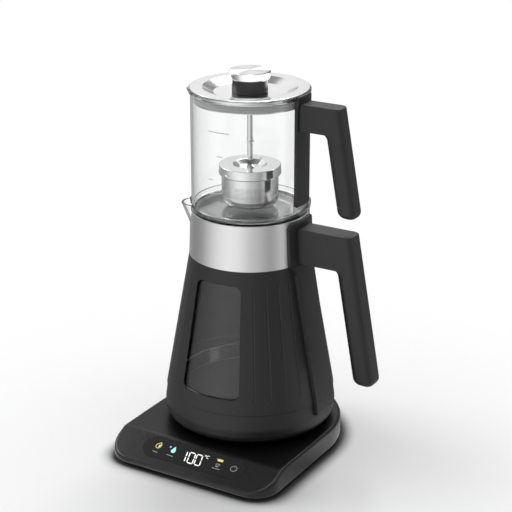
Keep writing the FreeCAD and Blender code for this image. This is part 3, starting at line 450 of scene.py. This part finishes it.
def add_world():
    """White behind the object, the studio in shiny walls, and soft light all round."""
    world = bpy.data.worlds.new("studio")
    bpy.context.scene.world = world
    world.use_nodes = True
    nodes = Nodes(world.node_tree)
    background = world.node_tree.nodes["Background"]
    background.inputs["Color"].default_value = (1.0, 1.0, 1.0, 1.0)
    shown, shiny = ray_kinds(nodes)
    around, height = studio(nodes, nodes.add("ShaderNodeTexCoord").outputs["Generated"])
    share = nodes.curve(height, -1.0, 1.0, STUDIO_HEIGHTS)
    level = nodes.maths("MULTIPLY", around, share)
    strength = nodes.maths("MAXIMUM", shown, nodes.maths("MULTIPLY", shiny, level))
    plain = nodes.maths("SUBTRACT", 1.0, nodes.maths("MAXIMUM", shown, shiny))
    strength = nodes.maths("MULTIPLY_ADD", plain, WORLD_LIGHT, strength)
    nodes.link(strength, background.inputs["Strength"])


def add_softbox(name, turn, height, distance, size, power, aim_height):
    """A rectangular lamp that looks at the object from a turn round the axis."""
    data = bpy.data.lights.new(name, "AREA")
    data.shape = "RECTANGLE"
    data.size, data.size_y = size
    data.energy = power
    lamp = bpy.data.objects.new(name, data)
    bpy.context.scene.collection.objects.link(lamp)
    angle = math.radians(turn)
    lamp.location = (distance * math.cos(angle), distance * math.sin(angle), height)
    aim = Vector((0.0, 0.0, aim_height)) - lamp.location
    lamp.rotation_euler = aim.to_track_quat("-Z", "Y").to_euler()


# ----------------------------------------------------------------- small forms

def new_piece(name, verts, faces, material, body, crease=None):
    """A mesh piece that rides on a body.

    With a crease, in degrees, it is shaded smooth over edges that turn less than that.
    """
    data = bpy.data.meshes.new(name)
    data.from_pydata(verts, [], faces)
    data.materials.append(material)
    if crease is not None:
        for face in data.polygons:
            face.use_smooth = True
        data.set_sharp_from_angle(angle=math.radians(crease))
    piece = bpy.data.objects.new(name, data)
    bpy.context.scene.collection.objects.link(piece)
    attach(piece, body)
    return piece


# ------------------------------------------------------------ the control strip

FACING_UP = 0.8


class Strip:
    """The touch window's upper face: across is +X, up is towards the kettle."""

    def __init__(self):
        data = NODES["control_lens"].data
        faces = [face for face in data.polygons if face.normal.z > FACING_UP]
        self.normal = max(faces, key=lambda face: face.area).normal.copy()
        level = max(self.normal.dot(data.vertices[index].co)
                    for face in faces for index in face.vertices)
        low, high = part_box("control_lens")
        self.across = Vector((1.0, 0.0, 0.0))
        self.up = self.normal.cross(self.across)
        middle = (low + high) / 2
        self.centre = middle + self.normal * (level - self.normal.dot(middle))

    def point(self, across, up, lift=0.0):
        return self.centre + self.across * across + self.up * up + self.normal * lift


PRINT_THICK = 0.12 * MM
SIGN_GAP = 0.01 * MM


class Sign:
    """Flat lit shapes laid on the strip, all in one piece; sizes in millimetres."""

    def __init__(self, strip, across, up, lean=0.0):
        self.strip = strip
        self.across = across
        self.up = up
        self.lean = lean
        self.verts = []
        self.faces = []

    def shape(self, points):
        """A thin plate with the outline of points, in either order round it."""
        first = len(self.verts)
        count = len(points)
        turned = sum(points[index - 1][0] * points[index][1]
                     - points[index][0] * points[index - 1][1] for index in range(count))
        if turned < 0.0:
            points = points[::-1]
        for lift in (SIGN_GAP, SIGN_GAP + PRINT_THICK):
            for x, y in points:
                self.verts.append(self.strip.point(
                    (self.across + x + y * self.lean) * MM, (self.up + y) * MM, lift))
        self.faces.append([first + index for index in reversed(range(count))])
        self.faces.append([first + count + index for index in range(count)])
        for index in range(count):
            after = (index + 1) % count
            self.faces.append([first + index, first + after,
                               first + count + after, first + count + index])

    def bar(self, start, end, width):
        """A straight stroke with cut ends."""
        run = Vector(end) - Vector(start)
        side = Vector((-run.y, run.x)).normalized() * width / 2
        corners = (Vector(start) - side, Vector(end) - side,
                   Vector(end) + side, Vector(start) + side)
        self.shape([tuple(corner) for corner in corners])

    def arc(self, centre, radius, start, end, width, steps=18):
        """A round stroke from one angle to another, in degrees."""
        whole = end - start >= 360
        rims = steps if whole else steps + 1
        first = len(self.verts)
        for rim in range(rims):
            angle = math.radians(start + (end - start) * rim / steps)
            for reach in (radius - width / 2, radius + width / 2):
                x = centre[0] + reach * math.cos(angle)
                y = centre[1] + reach * math.sin(angle)
                for lift in (SIGN_GAP, SIGN_GAP + PRINT_THICK):
                    self.verts.append(self.strip.point(
                        (self.across + x + y * self.lean) * MM, (self.up + y) * MM, lift))
        for step in range(steps):
            here = first + 4 * step
            there = first + 4 * ((step + 1) % rims)
            for side, other in ((1, 3), (3, 2), (2, 0), (0, 1)):
                self.faces.append([here + side, here + other,
                                   there + other, there + side])
        if not whole:
            last = first + 4 * steps
            self.faces.append([first, first + 2, first + 3, first + 1])
            self.faces.append([last, last + 1, last + 3, last + 2])

    def finish(self, name, material):
        new_piece(name, self.verts, self.faces, material, "base")


# The seven bars of a figure: bottom, lower right, upper right, top, upper left,
# lower left, middle
FIGURES = {"0": (1, 1, 1, 1, 1, 1, 0), "1": (0, 1, 1, 0, 0, 0, 0)}
# Each figure shown: its character, its left side and its width, in millimetres
SHOWN_FIGURES = [("1", -14.3, 6.3), ("0", -5.0, 6.0), ("0", 3.0, 6.0)]
FIGURE_HEIGHT = 12.0
FIGURE_STROKE = 1.05
FIGURE_GAP = FIGURE_STROKE * 0.55
FIGURE_LEAN = -0.22
# Line widths of the pictograms, in millimetres
FINE_LINE = 0.4
LINE = 0.45
BOLD_LINE = 0.6
# The line under each key, from its left end to its right end
KEY_LINES = [((-43.6, -6.7), (-38.0, -7.3)), ((-27.6, -6.3), (-20.4, -6.9)),
             ((23.2, -6.3), (31.6, -6.4))]


def figure(sign, character, left, width):
    """One seven-bar figure, its bars set a little apart."""
    gap = FIGURE_GAP
    half = FIGURE_HEIGHT / 2
    right = left + width
    bars = [
        ((left + gap, -half), (right - gap, -half)),
        ((right, -half + gap), (right, -gap)),
        ((right, gap), (right, half - gap)),
        ((left + gap, half), (right - gap, half)),
        ((left, gap), (left, half - gap)),
        ((left, -half + gap), (left, -gap)),
        ((left + gap, 0), (right - gap, 0)),
    ]
    for lit, (start, end) in zip(FIGURES[character], bars):
        if lit:
            sign.bar(start, end, FIGURE_STROKE)


def add_control_signs():
    """The lit figures and pictograms under the touch window."""
    strip = Strip()
    white = lit_print("lit_white", (0.92, 0.93, 0.90), 0.8)
    amber = lit_print("lit_amber", (0.80, 0.70, 0.25), 0.5)
    cyan = lit_print("lit_cyan", (0.35, 0.80, 0.85), 0.7)
    grey = lit_print("lit_grey", (0.55, 0.56, 0.55), 0.25)

    digits = Sign(strip, 0.0, -1.2, lean=FIGURE_LEAN)
    for character, left, width in SHOWN_FIGURES:
        figure(digits, character, left, width)
    digits.finish("display_figures", white)

    degree = Sign(strip, 10.5, 4.8)
    degree.arc((0.0, 1.0), 0.7, 0, 360, 0.35)
    degree.arc((3.0, 0.0), 1.5, 50, 310, LINE)
    degree.finish("display_degree", white)

    pot = Sign(strip, -41.0, 1.8)
    pot.arc((0.0, 0.0), 2.7, 120, 420, BOLD_LINE)
    pot.shape([(0.3, -2.0), (1.8, -0.9), (1.8, 1.4), (0.3, 2.0)])
    pot.bar((-1.6, 2.2), (1.0, 4.4), BOLD_LINE)
    pot.bar((1.0, 4.4), (3.0, 1.4), BOLD_LINE)
    pot.finish("icon_teapot", amber)

    drop = Sign(strip, -23.6, 2.2)
    drop.shape([(0.0, 4.2)] + [
        (2.4 * math.cos(math.radians(angle)), -1.4 + 2.4 * math.sin(math.radians(angle)))
        for angle in range(20, -201, -20)])
    drop.finish("icon_drop", cyan)
    small_drop = Sign(strip, -28.6, 4.4)
    small_drop.arc((0.0, 0.0), 0.7, 0, 360, LINE)
    small_drop.finish("icon_small_drop", cyan)

    leaf = Sign(strip, 26.0, 2.2)
    leaf.shape([(-1.5, 1.6), (4.2, 1.6), (3.8, 4.2), (-2.0, 4.2)])
    leaf.finish("icon_leaf", amber)
    cup = Sign(strip, 27.0, 0.2)
    cup.arc((0.0, 0.0), 1.9, 180, 360, FINE_LINE)
    cup.bar((-2.1, 0.3), (2.5, 0.3), FINE_LINE)
    cup.bar((-1.5, -2.8), (1.9, -2.8), FINE_LINE)
    cup.bar((-4.4, 5.6), (-3.2, 5.6), FINE_LINE)
    cup.finish("icon_cup", grey)

    power = Sign(strip, 44.2, 0.5)
    power.arc((0.0, 0.0), 3.1, 115, 425, FINE_LINE, steps=28)
    power.bar((0.0, 1.2), (0.0, 4.0), FINE_LINE)
    power.finish("icon_power", grey)

    marks = Sign(strip, 0.0, 1.4)
    for start, end in KEY_LINES:
        marks.bar(start, end, LINE)
    marks.finish("key_lines", grey)


# ----------------------------------------------------------- marks on the teapot

MARK_RADIUS = 55.53 * MM
MARK_SKIN = 0.05 * MM
MARK_THICK = 0.7 * MM
# Each mark: the turns round the axis where it starts and ends, in degrees, and its height
LEVEL_MARKS = [(-102.0, -79.0, 323.5 * MM), (-92.0, -86.0, 301.0 * MM),
               (-102.0, -97.0, 278.0 * MM)]


def add_graduations():
    """Pale printed level marks round the teapot's left side."""
    material = lit_print("pale_print", (0.62, 0.64, 0.64))
    verts = []
    faces = []

    for start, end, height in LEVEL_MARKS:
        steps = max(2, int((end - start) / 2))
        first = len(verts)
        for step in range(steps + 1):
            angle = math.radians(start + (end - start) * step / steps)
            for lift in (-MARK_THICK / 2, MARK_THICK / 2):
                for radius in (MARK_RADIUS, MARK_RADIUS + MARK_SKIN):
                    verts.append((radius * math.cos(angle), radius * math.sin(angle),
                                  height + lift))
        for step in range(steps):
            here = first + step * 4
            there = here + 4
            faces.append((here + 1, there + 1, there + 3, here + 3))
            faces.append((here, here + 2, there + 2, there))
            faces.append((here + 2, here + 3, there + 3, there + 2))
            faces.append((here, there, there + 1, here + 1))
        faces.append((first, first + 1, first + 3, first + 2))
        last = first + steps * 4
        faces.append((last, last + 2, last + 3, last + 1))

    new_piece("level_marks", verts, faces, material, "teapot")


# --------------------------------------------------------- the infuser's basket

BASKET_RADIUS = 26.9 * MM
BASKET_SHEET = 0.7 * MM
BASKET_ROUND = 6.0 * MM
FLANGE_SHEET = 0.7 * MM
MESH_TURNS = (-60.0, 30.0, 120.0, 210.0)
MESH_STEP = 2.6
MESH_COLUMNS = 24
MESH_ROWS = 11
MESH_CELL = 1.2 * MM
MESH_RISE = 8.0 * MM
HOLE_SHARE = 0.46
# About how far one plain column between the meshes turns, in degrees
PLAIN_STEP = 5.0
CORNER_STEPS = 7
BASKET_CREASE = 35.0


def add_basket(material):
    """The drawn cup with four fine square meshes pierced through its wall."""
    low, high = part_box("infuser_basket")
    bottom, top = low.z, high.z
    flange = high.x
    inner_radius = BASKET_RADIUS - BASKET_SHEET
    mesh_low = bottom + MESH_RISE
    mesh_heights = [mesh_low + MESH_CELL * row for row in range(MESH_ROWS + 1)]

    turns = []
    meshed = []
    for middle in MESH_TURNS:
        start = middle - MESH_STEP * MESH_COLUMNS / 2
        for column in range(MESH_COLUMNS):
            turns.append(start + MESH_STEP * column)
            meshed.append(True)
        rest_start = start + MESH_STEP * MESH_COLUMNS
        rest = (360.0 / len(MESH_TURNS)) - MESH_STEP * MESH_COLUMNS
        plain = max(1, round(rest / PLAIN_STEP))
        for column in range(plain):
            turns.append(rest_start + rest * column / plain)
            meshed.append(False)

    def arc(radius, centre_radius, centre_height):
        angles = [math.radians(90.0 * step / CORNER_STEPS)
                  for step in range(CORNER_STEPS + 1)]
        return [(centre_radius + radius * math.sin(angle),
                 centre_height - radius * math.cos(angle)) for angle in angles]

    outer_low = arc(BASKET_ROUND, BASKET_RADIUS - BASKET_ROUND, bottom + BASKET_ROUND)
    inner_low = arc(BASKET_ROUND - BASKET_SHEET, BASKET_RADIUS - BASKET_ROUND,
                    bottom + BASKET_ROUND)
    profile = outer_low + [(BASKET_RADIUS, height) for height in mesh_heights]
    profile += [(BASKET_RADIUS, top - FLANGE_SHEET), (flange, top - FLANGE_SHEET),
                (flange, top), (inner_radius, top)]
    profile += [(inner_radius, height) for height in reversed(mesh_heights)]
    profile += list(reversed(inner_low))
    outer_row = len(outer_low)
    inner_row = outer_row + MESH_ROWS + 1 + 4

    verts = []
    faces = []

    count = len(turns)
    for radius, height in profile:
        for turn in turns:
            angle = math.radians(turn)
            verts.append((radius * math.cos(angle), radius * math.sin(angle), height))
    outer_centre = len(verts)
    verts.append((0.0, 0.0, bottom))
    inner_centre = len(verts)
    verts.append((0.0, 0.0, bottom + BASKET_SHEET))

    def corner(row, column):
        return row * count + column % count

    def cell(row, column):
        return (corner(row, column), corner(row, column + 1),
                corner(row + 1, column + 1), corner(row + 1, column))

    holes = {}
    for row in range(len(profile) - 1):
        for column in range(count):
            outer_hole = outer_row <= row < outer_row + MESH_ROWS
            inner_hole = inner_row <= row < inner_row + MESH_ROWS
            if not meshed[column] or not (outer_hole or inner_hole):
                faces.append(cell(row, column))
                continue
            corners = cell(row, column)
            centre = sum((Vector(verts[index]) for index in corners), Vector()) / 4
            first = len(verts)
            for index in corners:
                verts.append(tuple(centre + (Vector(verts[index]) - centre) * HOLE_SHARE))
            inset = [first + step for step in range(4)]
            for step in range(4):
                after = (step + 1) % 4
                faces.append((corners[step], corners[after], inset[after], inset[step]))
            level = row - outer_row if outer_hole else inner_row + MESH_ROWS - 1 - row
            holes.setdefault((level, column), []).append(inset)
    for outer, inner in holes.values():
        # The inner wall's rows run downwards, so its corners pair up the other way round
        paired = (inner[3], inner[2], inner[1], inner[0])
        for step in range(4):
            after = (step + 1) % 4
            faces.append((outer[step], outer[after], paired[after], paired[step]))
    last = len(profile) - 1
    for column in range(count):
        faces.append((outer_centre, corner(0, column + 1), corner(0, column)))
        faces.append((inner_centre, corner(last, column), corner(last, column + 1)))

    basket = new_piece("fine_mesh_basket", verts, faces, material, "infuser",
                       BASKET_CREASE)
    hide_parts("infuser_basket")


# --------------------------------------------------------------- the pan's rim

RIM_RADIUS = 69.7 * MM
RIM_HALF = 0.65 * MM
RIM_STEPS = 120
RIM_SIDES = 8
RIM_ROUGHNESS = (0.3, 0.4)
RIM_CLOUD = 300.0
NO_CREASE = 180.0


def add_pan_rim():
    """The rolled edge of the pan, which shows as a bright line in the window; its
    near-white colour is a painted highlight.
    """
    # Painted highlight: the steel rim gets a near-white, non-metal colour in place of its
    # glint
    finish = Finish("rolled_rim_painted_highlight", (0.90, 0.90, 0.89), 0.35)
    finish.rough(finish.noise(finish.place(), RIM_CLOUD), *RIM_ROUGHNESS)
    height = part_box("heating_plate")[1].z
    verts = []
    faces = []
    for step in range(RIM_STEPS):
        turn = math.radians(360.0 * step / RIM_STEPS)
        for side in range(RIM_SIDES):
            angle = math.radians(360.0 * side / RIM_SIDES)
            radius = RIM_RADIUS + RIM_HALF * math.cos(angle)
            verts.append((radius * math.cos(turn), radius * math.sin(turn),
                          height + RIM_HALF * math.sin(angle)))
    for step in range(RIM_STEPS):
        ahead = (step + 1) % RIM_STEPS
        for side in range(RIM_SIDES):
            after = (side + 1) % RIM_SIDES
            faces.append((step * RIM_SIDES + side, ahead * RIM_SIDES + side,
                          ahead * RIM_SIDES + after, step * RIM_SIDES + after))
    new_piece("pan_rim_bead", verts, faces, finish.material, "kettle",
              NO_CREASE)


# ------------------------------------------------------------- the grips' backs

GRIP_SLOPE = 0.18
GRIP_END_ROUND = 6.5 * MM
# How far from the grip's outer face its back begins, and how far inside the grip's skin
GRIP_SPLIT = 8.2 * MM
FLUSH = 0.01 * MM
BACK_ROUND = 9.3 * MM
ELBOW_ROUND = 6.0 * MM
ROUND_STEPS = 10
GRIP_CREASE = 40.0
# Each back: its piece, the CAD node and the body it is on, the radius of the grip's outer
# face at its top, how thick the grip is and how high the arm above it
GRIP_BACKS = [
    ("kettle_grip_back", "kettle_handle", "kettle", 113.4 * MM, 22.8 * MM, 33.9 * MM),
    ("teapot_grip_back", "teapot_handle", "teapot", 98.6 * MM, 21.2 * MM, 25.3 * MM),
]


def add_grip_back(material, name, node, body, outer_top, thick, arm_high):
    """The full, round side of a leaning grip that the fingers close on."""
    low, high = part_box(node)
    foot = low.z + FLUSH
    side = high.y - FLUSH
    rings = []

    def add_ring(height, inset, flare=0.0):
        outer = outer_top + GRIP_SLOPE * (high.z - height)
        near = outer - thick + inset - flare
        half = side - inset
        corner = min(BACK_ROUND, side) - inset
        points = [(outer - GRIP_SPLIT, -half, height), (outer - GRIP_SPLIT, half, height)]
        for start, centre in ((90.0, half - corner), (180.0, corner - half)):
            for step in range(ROUND_STEPS + 1):
                angle = math.radians(start + 90.0 * step / ROUND_STEPS)
                points.append((near + corner + corner * math.cos(angle),
                               centre + corner * math.sin(angle), height))
        rings.append(points)

    for step in range(ROUND_STEPS):
        angle = math.radians(90.0 * step / ROUND_STEPS)
        add_ring(foot + GRIP_END_ROUND * (1.0 - math.cos(angle)),
                 GRIP_END_ROUND * (1.0 - math.sin(angle)))
    add_ring(foot + GRIP_END_ROUND, 0.0)
    arm_low = high.z - arm_high
    for step in range(ROUND_STEPS + 1):
        angle = math.radians(90.0 * step / ROUND_STEPS)
        add_ring(arm_low - ELBOW_ROUND * (1.0 - math.sin(angle)), 0.0,
                 ELBOW_ROUND * (1.0 - math.cos(angle)))
    add_ring(arm_low + GRIP_END_ROUND, 0.0, ELBOW_ROUND)

    count = len(rings[0])
    verts = [point for ring in rings for point in ring]
    faces = [list(reversed(range(count))),
             [len(verts) - count + index for index in range(count)]]
    for row in range(len(rings) - 1):
        for index in range(count):
            after = (index + 1) % count
            faces.append([row * count + index, row * count + after,
                          (row + 1) * count + after, (row + 1) * count + index])
    new_piece(name, verts, faces, material, body, GRIP_CREASE)


# ------------------------------------------------------------------------ build

add_camera()
add_world()
add_floor()
for lamp in LAMPS:
    add_softbox(*lamp)
drawn_steel, handle_black = dress_frame()
add_control_signs()
add_graduations()
add_basket(drawn_steel)
add_pan_rim()
for grip in GRIP_BACKS:
    add_grip_back(handle_black, *grip)

scene = bpy.context.scene
scene.view_settings.view_transform = "Standard"
